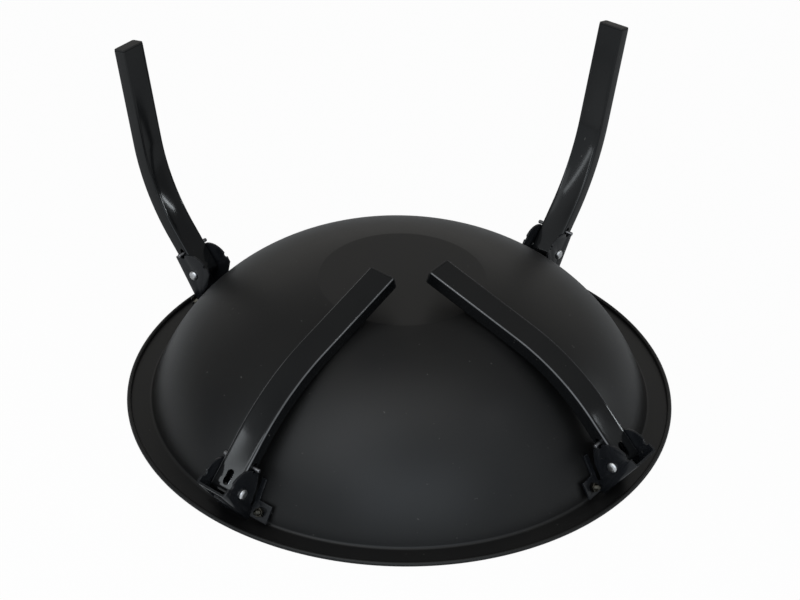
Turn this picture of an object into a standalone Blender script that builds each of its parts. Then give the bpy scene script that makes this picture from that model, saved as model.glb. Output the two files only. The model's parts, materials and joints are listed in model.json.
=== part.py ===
"""Steel fire bowl on four folding legs, standing upside down on its rim.

Two legs are folded over the bowl's outside and two are swung out. Lengths are in metres, +Z is up,
and the origin is the centre of the flat base disc's outer face, which is the top of the upturned bowl.
"""
import math

import bmesh
import bpy
from mathutils import Matrix, Vector

# Bowl, spun from one steel sheet
RIM_DIAMETER = 0.540
BOWL_DEPTH = 0.132
BASE_DIAMETER = 0.162
DOME_RADIUS = 0.202
FLANGE_WIDTH = 0.018
FILLET_RADIUS = 0.009
BEAD_DIAMETER = 0.0045
BOWL_SHEET = 0.0012

# Leg stations round the bowl, counter-clockwise from +X
FIRST_LEG_AZIMUTH = math.radians(53.7)
LEG_NAMES = ("br", "bl", "fl", "fr")
ASKEW = {"fl": math.radians(-1.9)}

# Hinge, placed from the rim
HINGE_INSET = 0.0123
HINGE_HEIGHT = 0.0376
DEPLOYED_LEAN = math.radians(41.4)
LOCK_PLAY = math.radians(3.0)

# Leg, a bent box tube with a plug in its foot
LEG_DEPTH = 0.0143
LEG_WIDTH = 0.0284
LEG_WALL = 0.0015
LEG_CORNER = 0.0020
LEG_END_ROUND = 0.0011
LEG_OFFSET = 0.0016
LEG_STRAIGHT = 0.0475
LEG_BEND_RADIUS = 0.206
LEG_BEND = math.radians(27.7)
FOLDED_FOOT_RADIUS = 0.041
FOLDED_LEG_GAP = 0.0014
FOOT_FLANGE = 0.002
FOOT_PLUG = 0.009

# Bracket, folded from one steel sheet
BRACKET_LEAN = math.radians(33.5)
BRACKET_SHEET = 0.002
BRACKET_CORNER = 0.003
EAR_GAP = 0.0005
WEB_GAP = 0.0038
WEB_TOP = 0.0245
CAM_RADIUS = 0.023
HORN_HEIGHT = 0.0005
HORN_LENGTH = 0.0065
EAR_LIFT = 0.007
EAR_ROOT = 0.010
FOOT_TURN = math.radians(8)
STRIP_WIDTH = 0.005
STRIP_ABOVE = 0.007
TAB_WIDTH = 0.0192
TAB_LENGTH = 0.0175
FOOT_SHORT = 0.004
WEB_WINDOW_WIDTH = 0.020
WEB_WINDOW_HEIGHT = 0.018
WEB_WINDOW_CORNER = 0.002
WEB_MARGIN = 0.009
WEB_BOTTOM_GAP = 0.0012

# Hinge rivet, lock pin and spring
RIVET_DIAMETER = 0.005
RIVET_HEAD_DIAMETER = 0.0104
RIVET_HEAD_HEIGHT = 0.0024
PIN_DIAMETER = 0.004
PIN_OVERHANG = 0.0045
PIN_SEAT = 0.0025
PIN_LIFT = 0.003
SPRING_DIAMETER = 0.007
SPRING_WIRE = 0.001
SPRING_TURNS = 7.5
SPRING_END_GAP = 0.0055
WINDOW_WIDTH = 0.0075
WINDOW_LENGTH = 0.0155

# Bolts and nuts
BOLT_DIAMETER = 0.005
BOLT_OUT = 0.0095
BOLT_PROUD = 0.0045
BOLT_HEAD_DIAMETER = 0.0095
BOLT_HEAD_HEIGHT = 0.003
NUT_ACROSS_FLATS = 0.008
NUT_HEIGHT = 0.004

# Clearances
SEAT_GAP = 0.0003
HOLE_GAP = 0.0003
HEAD_CLEARANCE = 0.0011

# Facets
BOWL_STEPS = 64
DOME_STEPS = 12
FILLET_STEPS = 4
BEAD_STEPS = 6
SMALL_STEPS = 12
HOLE_STEPS = 16
BEND_STEPS = 9
COIL_STEPS = 8

# Finishes: colour, roughness, metallic
FINISHES = {
    "bowl_paint": ((0.020, 0.020, 0.021), 0.50, 0.0),
    "leg_paint": ((0.012, 0.012, 0.014), 0.30, 0.0),
    "bracket_paint": ((0.010, 0.011, 0.013), 0.36, 0.0),
    "foot_plastic": ((0.014, 0.014, 0.015), 0.55, 0.0),
    "bright_steel": ((0.62, 0.62, 0.64), 0.24, 1.0),
    "dark_zinc": ((0.22, 0.20, 0.15), 0.34, 1.0),
    "spring_steel": ((0.36, 0.37, 0.40), 0.28, 1.0),
}

# Places that follow from the sizes
RIM_RADIUS = RIM_DIAMETER / 2
RIM_Z = -BOWL_DEPTH
BASE_RADIUS = BASE_DIAMETER / 2
BEAD_RADIUS = BEAD_DIAMETER / 2
HINGE = Vector((RIM_RADIUS - HINGE_INSET, RIM_Z + HINGE_HEIGHT))
EAR_INSIDE = LEG_WIDTH / 2 + EAR_GAP
EAR_OUTSIDE = EAR_INSIDE + BRACKET_SHEET
WEB_INSIDE = LEG_OFFSET + LEG_DEPTH / 2 + WEB_GAP
WEB_OUTSIDE = WEB_INSIDE + BRACKET_SHEET
PIN_RADIUS = PIN_DIAMETER / 2
PIN_REST = CAM_RADIUS + PIN_RADIUS + SEAT_GAP
NOTCH_RADIUS = PIN_RADIUS + 0.0004
LEG_INNER = LEG_OFFSET - LEG_DEPTH / 2
LEG_END_RADIUS = LEG_DEPTH / 2 + LEG_END_ROUND
BOLT_SIDE = EAR_OUTSIDE + BOLT_OUT


def clear_scene():
    for thing in list(bpy.data.objects):
        bpy.data.objects.remove(thing)


def dome_centres():
    """Centres of the dome's arc and of the fillet that joins it to the flange, in the (radius, z) plane."""
    edge = Vector((BASE_RADIUS, 0.0))
    fillet = Vector((RIM_RADIUS - FLANGE_WIDTH, RIM_Z + BOWL_SHEET + FILLET_RADIUS))
    reach = (fillet - edge).length
    outer = DOME_RADIUS + FILLET_RADIUS
    along = (DOME_RADIUS ** 2 - outer ** 2 + reach ** 2) / (2 * reach)
    across = math.sqrt(DOME_RADIUS ** 2 - along ** 2)
    forward = (fillet - edge) / reach
    dome = edge + forward * along + Vector((forward.y, -forward.x)) * across
    return dome, fillet


DOME_CENTRE, FILLET_CENTRE = dome_centres()
EDGE_SLOPE = math.asin((BASE_RADIUS - DOME_CENTRE.x) / DOME_RADIUS)
FOOT_OF_DOME = FILLET_CENTRE - DOME_CENTRE
FILLET_SLOPE = math.atan2(FOOT_OF_DOME.x, FOOT_OF_DOME.y)


def normal_at(slope):
    """Outward normal, in the (radius, z) plane, of a surface that falls away at this slope."""
    return Vector((math.sin(slope), math.cos(slope)))


def clearance_to_bowl(radius, z):
    """Distance of a point outside the upturned bowl from its outer face."""
    if radius > FILLET_CENTRE.x:
        return z - RIM_Z - BOWL_SHEET
    point = Vector((radius, z))
    offset = point - DOME_CENTRE
    if math.atan2(offset.x, offset.y) <= FILLET_SLOPE:
        return offset.length - DOME_RADIUS
    return FILLET_RADIUS - (point - FILLET_CENTRE).length


def bisect(test, low, high, rounds=48):
    """The last value between low and high for which test holds, when it holds at low."""
    for _ in range(rounds):
        middle = (low + high) / 2
        if test(middle):
            low = middle
        else:
            high = middle
    return low


def leg_path(tip_straight, start=0.0):
    """Points (out, along, turn) on the leg's middle line in the hinge's frame."""
    points = [(0.0, start, 0.0), (0.0, LEG_STRAIGHT, 0.0)]
    for step in range(1, BEND_STEPS + 1):
        turn = LEG_BEND * step / BEND_STEPS
        out = -LEG_BEND_RADIUS * (1 - math.cos(turn))
        along = LEG_STRAIGHT + LEG_BEND_RADIUS * math.sin(turn)
        points.append((out, along, turn))
    out, along, turn = points[-1]
    points.append((out - tip_straight * math.sin(turn), along + tip_straight * math.cos(turn), turn))
    return points


def swing(out, along, lean):
    """A point of the hinge's frame in the (radius, z) plane, for a leg that leans outward by this angle."""
    return HINGE + Vector((
        out * math.cos(lean) + along * math.sin(lean),
        along * math.cos(lean) - out * math.sin(lean),
    ))


def folded_foot_length(lean):
    """Straight length past the bend that puts the folded foot at its distance from the bowl's axis."""
    out, along, turn = leg_path(0.0)[-1]
    bend_end = swing(out, along, lean)
    return (bend_end.x - FOLDED_FOOT_RADIUS) / math.sin(turn - lean)


def leg_clears_dome(fold):
    lean = DEPLOYED_LEAN - fold
    for out, along, turn in leg_path(folded_foot_length(lean)):
        face = swing(out + LEG_INNER * math.cos(turn), along + LEG_INNER * math.sin(turn), lean)
        if clearance_to_bowl(face.x, face.y) < FOLDED_LEG_GAP:
            return False
    return True


FOLD_ANGLE = bisect(leg_clears_dome, math.radians(60), math.radians(110))
FOLDED_LEAN = DEPLOYED_LEAN - FOLD_ANGLE
TIP_STRAIGHT = folded_foot_length(FOLDED_LEAN)

# How far each leg stands folded from its outer stop
RESTING_FOLD = {"br": 0.0, "bl": LOCK_PLAY, "fl": FOLD_ANGLE, "fr": FOLD_ANGLE}

# The bracket's flat feet touch the dome above and end just over the fillet
FOOT_SLOPE = FILLET_SLOPE - FOOT_TURN
FOOT_NORMAL = normal_at(FOOT_SLOPE)
FOOT_DOWN = Vector((FOOT_NORMAL.y, -FOOT_NORMAL.x))


def foot_touch():
    """Where the foot's underside comes nearest to the dome, at the ears' inner faces."""
    radius = DOME_CENTRE.x + DOME_RADIUS * FOOT_NORMAL.x
    drop = (radius - math.sqrt(radius ** 2 - EAR_INSIDE ** 2)) * FOOT_NORMAL.x
    return DOME_CENTRE + FOOT_NORMAL * (DOME_RADIUS - drop + SEAT_GAP)


def foot_end():
    """Length of the foot below that point, to a little short of where it would meet the fillet."""
    underside = (FILLET_CENTRE - FOOT_TOUCH).dot(FOOT_NORMAL)
    below = (FILLET_CENTRE - FOOT_TOUCH).dot(FOOT_DOWN)
    return below + math.sqrt(FILLET_RADIUS ** 2 - underside ** 2) - FOOT_SHORT


FOOT_TOUCH = foot_touch()
FOOT_LENGTH = foot_end()
BOLT_DOWN = FOOT_LENGTH - TAB_LENGTH * 0.45
BOLT_BASE = FOOT_TOUCH + FOOT_DOWN * BOLT_DOWN


def gap_under_bolt():
    """Distance along the bolt from the foot's underside to the bowl's outer face."""
    def above(depth):
        point = BOLT_BASE - FOOT_NORMAL * depth
        return clearance_to_bowl(math.hypot(point.x, BOLT_SIDE), point.y) > 0
    return bisect(above, 0.0, 0.012)


BOLT_HEAD_DEPTH = gap_under_bolt() + BOWL_SHEET + HEAD_CLEARANCE


def closed_mesh(name, bm, sharp=math.radians(32)):
    """A mesh with outward faces, shaded smooth except at its sharp edges."""
    bmesh.ops.recalc_face_normals(bm, faces=bm.faces)
    mesh = bpy.data.meshes.new(name)
    bm.to_mesh(mesh)
    bm.free()
    mesh.shade_smooth()
    mesh.set_sharp_from_angle(angle=sharp)
    return mesh


def turned(name, profile, steps, sharp=math.radians(32)):
    """A solid turned about Z from a chain of (radius, z) points whose ends lie on the axis."""
    bm = bmesh.new()
    verts = [bm.verts.new((radius, 0.0, z)) for radius, z in profile]
    edges = [bm.edges.new(pair) for pair in zip(verts, verts[1:])]
    bmesh.ops.spin(
        bm, geom=verts + edges, cent=(0, 0, 0), axis=(0, 0, 1), angle=math.tau, steps=steps, use_merge=True)
    bmesh.ops.remove_doubles(bm, verts=bm.verts, dist=1e-6)
    return closed_mesh(name, bm, sharp)


def lofted(name, rings, ring_closed=False):
    """A skin through rings of points, with flat ends, or joined from the last ring to the first."""
    bm = bmesh.new()
    rows = [[bm.verts.new(point) for point in ring] for ring in rings]
    pairs = list(zip(rows, rows[1:]))
    if ring_closed:
        pairs.append((rows[-1], rows[0]))
    else:
        bm.faces.new(rows[0])
        bm.faces.new(rows[-1])
    for low, high in pairs:
        for index in range(len(low)):
            following = (index + 1) % len(low)
            bm.faces.new((low[index], low[following], high[following], high[index]))
    return closed_mesh(name, bm)


def plate(name, outline, low, high):
    """An outline of (x, z) points, thick from low to high along Y."""
    return lofted(name, [[(x, y, z) for x, z in outline] for y in (low, high)])


def rod(name, radius, low, high, steps=HOLE_STEPS):
    """A plain round bar about Z."""
    return turned(name, [(0, high), (radius, high), (radius, low), (0, low)], steps)


def arc(centre, radius, start, end, steps):
    """Points on an arc, with angles measured from +z towards +x."""
    angles = [start + (end - start) * step / steps for step in range(steps + 1)]
    return [(centre[0] + radius * math.sin(a), centre[1] + radius * math.cos(a)) for a in angles]


def rounded_rectangle(depth, width, corner, per_corner=2):
    """Corners of a rectangle centred on the origin, each cut by a few points of an arc."""
    points = []
    for quarter, (sx, sy) in enumerate(((1, 1), (-1, 1), (-1, -1), (1, -1))):
        for step in range(per_corner):
            angle = math.pi / 2 * (quarter + step / (per_corner - 1))
            x = sx * (depth / 2 - corner) + corner * math.cos(angle)
            y = sy * (width / 2 - corner) + corner * math.sin(angle)
            points.append((x, y))
    return points


def slot_outline(half_width, low, high, steps=6):
    """A slot with round ends that runs from low to high along z."""
    top = arc((0, high - half_width), half_width, -math.pi / 2, math.pi / 2, steps)
    bottom = arc((0, low + half_width), half_width, math.pi / 2, math.pi * 1.5, steps)
    return top + bottom


def carved(name, mesh, cuts, sharp=math.radians(32)):
    """The mesh after a row of (operation, tool mesh) Boolean steps."""
    base = bpy.data.objects.new(name, mesh)
    bpy.context.scene.collection.objects.link(base)
    tools = []
    for operation, tool_mesh in cuts:
        tool = bpy.data.objects.new(tool_mesh.name, tool_mesh)
        bpy.context.scene.collection.objects.link(tool)
        tool.hide_render = True
        tool.display_type = "WIRE"
        step = base.modifiers.new(tool_mesh.name, "BOOLEAN")
        step.operation = operation
        step.solver = "EXACT"
        step.object = tool
        tools.append(tool)
    result = bpy.data.meshes.new_from_object(base.evaluated_get(bpy.context.evaluated_depsgraph_get()))
    for thing in [base] + tools:
        bpy.data.objects.remove(thing)
    result.name = name
    result.shade_smooth()
    result.set_sharp_from_angle(angle=sharp)
    return result


def moved(mesh, *matrices):
    for matrix in matrices:
        mesh.transform(matrix)
    return mesh


def along_y(mesh):
    """Turns a piece made about Z so that it lies along Y."""
    return moved(mesh, Matrix.Rotation(math.pi / 2, 4, "X"))


def bolt_frame(side):
    """Frame of a bolt: its origin on the foot's underside, its Z along the bolt, out of the bowl."""
    place = Matrix.Translation((BOLT_BASE.x, side, BOLT_BASE.y))
    return place @ Matrix.Rotation(FOOT_SLOPE, 4, "Y")


def bowl_mesh():
    flange_top = RIM_Z + BOWL_SHEET
    bead = (RIM_RADIUS - BEAD_RADIUS, RIM_Z + BEAD_RADIUS)
    bead_start = -math.acos((flange_top - bead[1]) / BEAD_RADIUS)
    inner = DOME_RADIUS - BOWL_SHEET
    inner_edge_slope = math.acos((-BOWL_SHEET - DOME_CENTRE.y) / inner)
    outside = arc(DOME_CENTRE, DOME_RADIUS, EDGE_SLOPE, FILLET_SLOPE, DOME_STEPS)
    outside += arc(FILLET_CENTRE, FILLET_RADIUS, FILLET_SLOPE + math.pi, math.pi, FILLET_STEPS)[1:]
    inside = arc(FILLET_CENTRE, FILLET_RADIUS + BOWL_SHEET, math.pi, FILLET_SLOPE + math.pi, FILLET_STEPS)
    inside += arc(DOME_CENTRE, inner, FILLET_SLOPE, inner_edge_slope, DOME_STEPS)[1:]
    rim = arc(bead, BEAD_RADIUS, bead_start, math.pi, BEAD_STEPS)
    profile = [(0.0, 0.0)] + outside + rim + inside + [(0.0, -BOWL_SHEET)]
    shell = turned("bowl", profile, BOWL_STEPS)
    holes = []
    for frame in station_frames().values():
        for side in (-BOLT_SIDE, BOLT_SIDE):
            hole = rod("bolt_hole", BOLT_DIAMETER / 2 + HOLE_GAP, -0.012, 0.006)
            moved(hole, bolt_frame(side), frame)
            holes.append(("DIFFERENCE", hole))
    return carved("bowl", shell, holes)


def station_frames():
    """Frames of the four brackets by name, each turned about the middle of its feet if it sits askew."""
    frames = {}
    middle = Vector((BOLT_BASE.x, 0, BOLT_BASE.y))
    for index, name in enumerate(LEG_NAMES):
        azimuth = Matrix.Rotation(FIRST_LEG_AZIMUTH + math.pi / 2 * index, 4, "Z")
        askew = Matrix.Rotation(ASKEW.get(name, 0.0), 4, Vector((FOOT_NORMAL.x, 0, FOOT_NORMAL.y)))
        frames[name] = azimuth @ Matrix.Translation(middle) @ askew @ Matrix.Translation(-middle)
    return frames


def leg_rings(depth, width, corner, path):
    """Rings of a bent box tube, one at each point of the leg's path."""
    section = rounded_rectangle(depth, width, corner)
    rings = []
    for out, along, turn in path:
        ring = []
        for x, y in section:
            across = x + LEG_OFFSET
            ring.append((out + across * math.cos(turn), y, along + across * math.sin(turn)))
        rings.append(ring)
    return rings


def leg_mesh():
    path = leg_path(TIP_STRAIGHT, start=-LEG_END_RADIUS)
    outer = leg_rings(LEG_DEPTH, LEG_WIDTH, LEG_CORNER, path)
    bore_depth = LEG_DEPTH - 2 * LEG_WALL
    bore_width = LEG_WIDTH - 2 * LEG_WALL
    inner = leg_rings(bore_depth, bore_width, LEG_CORNER - LEG_WALL, path)
    tube = lofted("leg_tube", outer + inner[::-1], ring_closed=True)
    reach = LEG_WIDTH
    corner = LEG_DEPTH * 2
    round_end = arc((LEG_OFFSET, 0), LEG_END_RADIUS, math.pi * 1.5, math.pi / 2, HOLE_STEPS)
    below = [(-corner, 0)] + round_end + [(corner, 0), (corner, -corner), (-corner, -corner)]
    window = slot_outline(WINDOW_WIDTH / 2, 0, WINDOW_LENGTH)
    window_tool = plate("window", window, 0, LEG_DEPTH)
    moved(window_tool, Matrix.Rotation(-math.pi / 2, 4, "Z"))
    pin_room = PIN_RADIUS + HOLE_GAP
    pin_slot = slot_outline(pin_room, PIN_REST - PIN_SEAT - pin_room, PIN_REST + PIN_LIFT + pin_room)
    pivot = along_y(rod("pivot_hole", RIVET_DIAMETER / 2 + HOLE_GAP, -reach, reach))
    return carved("leg_tube", tube, [
        ("DIFFERENCE", plate("round_end", below, -reach, reach)),
        ("DIFFERENCE", window_tool),
        ("DIFFERENCE", plate("pin_slots", pin_slot, -reach, reach)),
        ("DIFFERENCE", pivot),
    ])


def foot_mesh():
    """The foot's plug: a flange as large as the tube, on a stem that fits inside it."""
    out, along, turn = leg_path(TIP_STRAIGHT)[-1]
    stem = (LEG_DEPTH - 2 * LEG_WALL - 2 * HOLE_GAP, LEG_WIDTH - 2 * LEG_WALL - 2 * HOLE_GAP, 0.0008)
    flange = (LEG_DEPTH, LEG_WIDTH, LEG_CORNER)
    crown = (LEG_DEPTH - 0.001, LEG_WIDTH - 0.001, LEG_CORNER - 0.0005)
    levels = (
        (-FOOT_PLUG, stem), (SEAT_GAP, stem), (SEAT_GAP, flange),
        (FOOT_FLANGE - 0.0005, flange), (FOOT_FLANGE, crown),
    )
    rings = []
    for height, size in levels:
        rings.append([(x + LEG_OFFSET, y, height) for x, y in rounded_rectangle(*size)])
    mesh = lofted("foot_cap", rings)
    return moved(mesh, Matrix.Rotation(-turn, 4, "Y"), Matrix.Translation((out, 0, along)))


def notch_outline(fold):
    """A round-bottomed notch for the lock pin, with the leg turned inward by this angle from deployed."""
    points = []
    for out, along in arc((0, PIN_REST - PIN_SEAT), NOTCH_RADIUS, math.pi / 2, math.pi * 1.5, 6):
        points.append(turned_inward(out, along, fold))
    return points


def turned_inward(out, along, fold):
    return (
        out * math.cos(fold) - along * math.sin(fold),
        out * math.sin(fold) + along * math.cos(fold),
    )


def ear_outline():
    """Side view of the bracket in the (radius, z) plane, from the web's top round to its bottom."""
    half_notch = math.asin(NOTCH_RADIUS / CAM_RADIUS)
    cam = [(NOTCH_RADIUS, WEB_TOP)] + notch_outline(0.0)[:4] + notch_outline(LOCK_PLAY)[3:]
    cam += arc((0, 0), CAM_RADIUS, -LOCK_PLAY - half_notch, -FOLD_ANGLE + half_notch, 8)[1:-1]
    cam += notch_outline(FOLD_ANGLE)
    cam.append(turned_inward(-NOTCH_RADIUS, CAM_RADIUS + HORN_HEIGHT, FOLD_ANGLE))
    outline = [swing(WEB_OUTSIDE, WEB_TOP, BRACKET_LEAN)]
    outline += [swing(x, y, DEPLOYED_LEAN) for x, y in cam]
    outline.append(outline[-1] + (swing(0, -1, BRACKET_LEAN) - HINGE) * HORN_LENGTH)
    slant = swing(1, -1, BRACKET_LEAN) - HINGE
    height = (outline[-1] - FOOT_TOUCH).dot(FOOT_NORMAL)
    outline.append(outline[-1] + slant * (EAR_LIFT - height) / slant.dot(FOOT_NORMAL))
    root = FOOT_TOUCH + FOOT_DOWN * (FOOT_LENGTH - EAR_ROOT)
    middle = FOOT_NORMAL * (BRACKET_SHEET / 2)
    outline.append(root + FOOT_NORMAL * EAR_LIFT)
    outline.append(root + middle)
    outline.append(FOOT_TOUCH + FOOT_DOWN * FOOT_LENGTH + middle)
    outline.append(swing(WEB_OUTSIDE, -web_drop(), BRACKET_LEAN))
    return [tuple(point) for point in outline]


def web_drop():
    """How far below the hinge the web's outer face ends, just above the bowl."""
    def above(drop):
        return clearance_to_bowl(*swing(WEB_OUTSIDE, -drop, BRACKET_LEAN)) > WEB_BOTTOM_GAP
    return bisect(above, 0.0, HINGE_HEIGHT * 2)


def channel_outline():
    """Plan of the bracket's bent channel: two ears joined by the web, with round bends."""
    back = -0.060
    outer = BRACKET_CORNER
    inner = BRACKET_CORNER - BRACKET_SHEET
    bend = (WEB_OUTSIDE - outer, EAR_OUTSIDE - outer)
    half = [(back, EAR_OUTSIDE)]
    half += [(bend[0] + outer * math.sin(a), bend[1] + outer * math.cos(a)) for a in (0, 0.52, 1.05, math.pi / 2)]
    inside = [(back, EAR_INSIDE)]
    inside += [(bend[0] + inner * math.sin(a), bend[1] + inner * math.cos(a)) for a in (0, 0.52, 1.05, math.pi / 2)]
    mirrored = [(x, -y) for x, y in half[::-1]]
    mirrored_inside = [(x, -y) for x, y in inside]
    return half + mirrored + mirrored_inside + inside[::-1]


def foot_plate(side):
    """One flat foot: a narrow strip beside the ear that widens to the bolt's tab."""
    start = EAR_OUTSIDE - BRACKET_SHEET / 2
    strip = EAR_OUTSIDE + STRIP_WIDTH - BRACKET_SHEET / 2
    tab = EAR_OUTSIDE + TAB_WIDTH
    step = FOOT_LENGTH - TAB_LENGTH
    outline = [
        (start, -STRIP_ABOVE), (strip, -STRIP_ABOVE), (strip, step), (tab, step),
        (tab, FOOT_LENGTH), (start, FOOT_LENGTH),
    ]
    rings = []
    for height in (0.0, BRACKET_SHEET):
        ring = []
        for across, down in outline:
            point = FOOT_TOUCH + FOOT_DOWN * down + FOOT_NORMAL * height
            ring.append((point.x, side * across, point.y))
        rings.append(ring)
    return lofted("foot_plate", rings)


def bracket_mesh():
    reach = 0.050
    rings = [[(x, y, z) for x, y in channel_outline()] for z in (-reach, reach)]
    channel = lofted("bracket", rings)
    at_hinge = Matrix.Translation((HINGE.x, 0, HINGE.y)) @ Matrix.Rotation(BRACKET_LEAN, 4, "Y")
    moved(channel, at_hinge)
    steps = [("INTERSECT", plate("ear_profile", ear_outline(), -reach, reach))]
    for side in (-1, 1):
        steps.append(("UNION", foot_plate(side)))
    pivot = along_y(rod("rivet_hole", RIVET_DIAMETER / 2 + HOLE_GAP, -reach, reach))
    steps.append(("DIFFERENCE", moved(pivot, Matrix.Translation((HINGE.x, 0, HINGE.y)))))
    window = rounded_rectangle(WEB_WINDOW_HEIGHT, WEB_WINDOW_WIDTH, WEB_WINDOW_CORNER, 4)
    centre = WEB_TOP - WEB_MARGIN - WEB_WINDOW_HEIGHT / 2
    rings = [[(x, y, centre + z) for z, y in window] for x in (WEB_INSIDE / 2, WEB_OUTSIDE * 2)]
    steps.append(("DIFFERENCE", moved(lofted("web_window", rings), at_hinge)))
    for side in (-BOLT_SIDE, BOLT_SIDE):
        hole = rod("foot_hole", BOLT_DIAMETER / 2 + HOLE_GAP, -0.004, 0.006)
        steps.append(("DIFFERENCE", moved(hole, bolt_frame(side))))
    return carved("bracket", channel, steps)


def rivet_mesh():
    shaft = RIVET_DIAMETER / 2
    head = RIVET_HEAD_DIAMETER / 2
    seat = EAR_OUTSIDE + SEAT_GAP
    top = seat + RIVET_HEAD_HEIGHT
    cap = [(0, top), (head * 0.55, top - 0.0003), (head * 0.9, seat + 0.0011), (head, seat)]
    half = cap + [(shaft, seat)]
    profile = half + [(radius, -z) for radius, z in half[::-1]]
    return along_y(turned("hinge_rivet", profile, SMALL_STEPS))


def pin_mesh():
    end = EAR_OUTSIDE + PIN_OVERHANG
    chamfer = 0.0006
    half = [(0, end), (PIN_RADIUS - chamfer, end), (PIN_RADIUS, end - chamfer)]
    profile = half + [(radius, -z) for radius, z in half[::-1]]
    return along_y(turned("lock_pin", profile, SMALL_STEPS))


def spring_points():
    """Middle line of the spring's wire: a hook round the rivet, the coil, and a hook round the pin."""
    coil = (SPRING_DIAMETER - SPRING_WIRE) / 2
    low_hook = RIVET_DIAMETER / 2 + HOLE_GAP + SPRING_WIRE / 2 + 0.0001
    high_hook = PIN_RADIUS + HOLE_GAP + SPRING_WIRE / 2 + 0.0001
    low = RIVET_DIAMETER / 2 + SPRING_END_GAP - 0.002
    high = PIN_REST - PIN_RADIUS - SPRING_END_GAP + 0.002
    points = []
    for degrees in range(150, 361, 30):
        angle = math.radians(degrees)
        points.append((low_hook * math.cos(angle), 0, low_hook * math.sin(angle)))
    count = int(SPRING_TURNS * COIL_STEPS)
    for index in range(count + 1):
        angle = math.tau * index / COIL_STEPS
        points.append((coil * math.cos(angle), coil * math.sin(angle), low + (high - low) * index / count))
    for degrees in range(180, -31, -30):
        angle = math.radians(degrees)
        points.append((high_hook * math.cos(angle), 0, PIN_REST + high_hook * math.sin(angle)))
    return points


def spring_self_gap(points):
    """Least gap between the wire's surface and itself, two thirds of a turn or more away along it."""
    apart = COIL_STEPS * 2 // 3
    least = math.inf
    for index, point in enumerate(points):
        for other in points[index + apart:]:
            least = min(least, (Vector(point) - Vector(other)).length - SPRING_WIRE)
    return least


def spring_curve():
    points = spring_points()
    print("spring: least gap of the wire to itself, mm:", round(spring_self_gap(points) * 1000, 3))
    curve = bpy.data.curves.new("lock_spring", "CURVE")
    curve.dimensions = "3D"
    curve.bevel_depth = SPRING_WIRE / 2
    curve.bevel_resolution = 1
    curve.render_resolution_u = 0
    curve.use_fill_caps = True
    wire = curve.splines.new("POLY")
    wire.points.add(len(points) - 1)
    for knot, point in zip(wire.points, points):
        knot.co = (*point, 1.0)
    return curve


def bolt_mesh():
    """A round-headed bolt whose origin is on the foot's underside; its head is inside the bowl."""
    shank = BOLT_DIAMETER / 2
    head = BOLT_HEAD_DIAMETER / 2
    tip = BRACKET_SHEET + SEAT_GAP + NUT_HEIGHT + BOLT_PROUD
    seat = -BOLT_HEAD_DEPTH
    chamfer = 0.0007
    profile = [
        (0, tip), (shank - chamfer, tip), (shank, tip - chamfer), (shank, seat), (head, seat),
        (head * 0.9, seat - BOLT_HEAD_HEIGHT * 0.6), (head * 0.45, seat - BOLT_HEAD_HEIGHT),
        (0, seat - BOLT_HEAD_HEIGHT),
    ]
    return turned("foot_bolt", profile, SMALL_STEPS)


def nut_mesh():
    base = BRACKET_SHEET + SEAT_GAP
    corner = NUT_ACROSS_FLATS / math.sqrt(3)
    chamfer = 0.0005
    levels = (
        (base, corner), (base + NUT_HEIGHT - chamfer, corner), (base + NUT_HEIGHT, corner - chamfer))
    rings = []
    for height, radius in levels:
        angles = [math.tau * side / 6 for side in range(6)]
        rings.append([(radius * math.cos(a), radius * math.sin(a), height) for a in angles])
    bore = rod("nut_bore", BOLT_DIAMETER / 2 + HOLE_GAP, 0, base + NUT_HEIGHT * 2, SMALL_STEPS)
    return carved("foot_nut", lofted("foot_nut", rings), [("DIFFERENCE", bore)])


def finish_material(name, finish):
    colour, roughness, metallic = FINISHES[finish]
    material = bpy.data.materials.new(name + "_finish")
    material.use_nodes = True
    shader = material.node_tree.nodes["Principled BSDF"]
    shader.inputs["Base Color"].default_value = (*colour, 1.0)
    shader.inputs["Roughness"].default_value = roughness
    shader.inputs["Metallic"].default_value = metallic
    return material


def piece(name, data, finish, parent=None, frame=None):
    """One named solid, with its own copy of the shape and its own material."""
    thing = bpy.data.objects.new(name, data.copy())
    thing.data.materials.append(finish_material(name, finish))
    bpy.context.scene.collection.objects.link(thing)
    thing.parent = parent
    if frame is not None:
        thing.matrix_local = frame
    return thing


def empty(name, frame, parent=None):
    thing = bpy.data.objects.new(name, None)
    bpy.context.scene.collection.objects.link(thing)
    thing.parent = parent
    thing.matrix_local = frame
    return thing


def build():
    clear_scene()
    shapes = {
        "bracket": bracket_mesh(), "rivet": rivet_mesh(), "leg": leg_mesh(), "foot": foot_mesh(),
        "pin": pin_mesh(), "spring": spring_curve(), "bolt": bolt_mesh(), "nut": nut_mesh(),
    }
    piece("bowl", bowl_mesh(), "bowl_paint")
    for name, frame in station_frames().items():
        station = empty("station_" + name, frame)
        piece("bracket_" + name, shapes["bracket"], "bracket_paint", station)
        at_hinge = Matrix.Translation((HINGE.x, 0, HINGE.y))
        piece("hinge_rivet_" + name, shapes["rivet"], "bright_steel", station, at_hinge)
        for label, side in (("left", -BOLT_SIDE), ("right", BOLT_SIDE)):
            suffix = "_" + name + "_" + label
            piece("foot_bolt" + suffix, shapes["bolt"], "dark_zinc", station, bolt_frame(side))
            piece("foot_nut" + suffix, shapes["nut"], "dark_zinc", station, bolt_frame(side))
        lean = DEPLOYED_LEAN - RESTING_FOLD[name]
        hinge = empty("hinge_axis_" + name, at_hinge @ Matrix.Rotation(lean, 4, "Y"), station)
        piece("leg_tube_" + name, shapes["leg"], "leg_paint", hinge)
        piece("foot_cap_" + name, shapes["foot"], "foot_plastic", hinge)
        piece("lock_spring_" + name, shapes["spring"], "spring_steel", hinge)
        piece("lock_pin_" + name, shapes["pin"], "bright_steel", hinge, Matrix.Translation((0, 0, PIN_REST)))


build()
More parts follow.
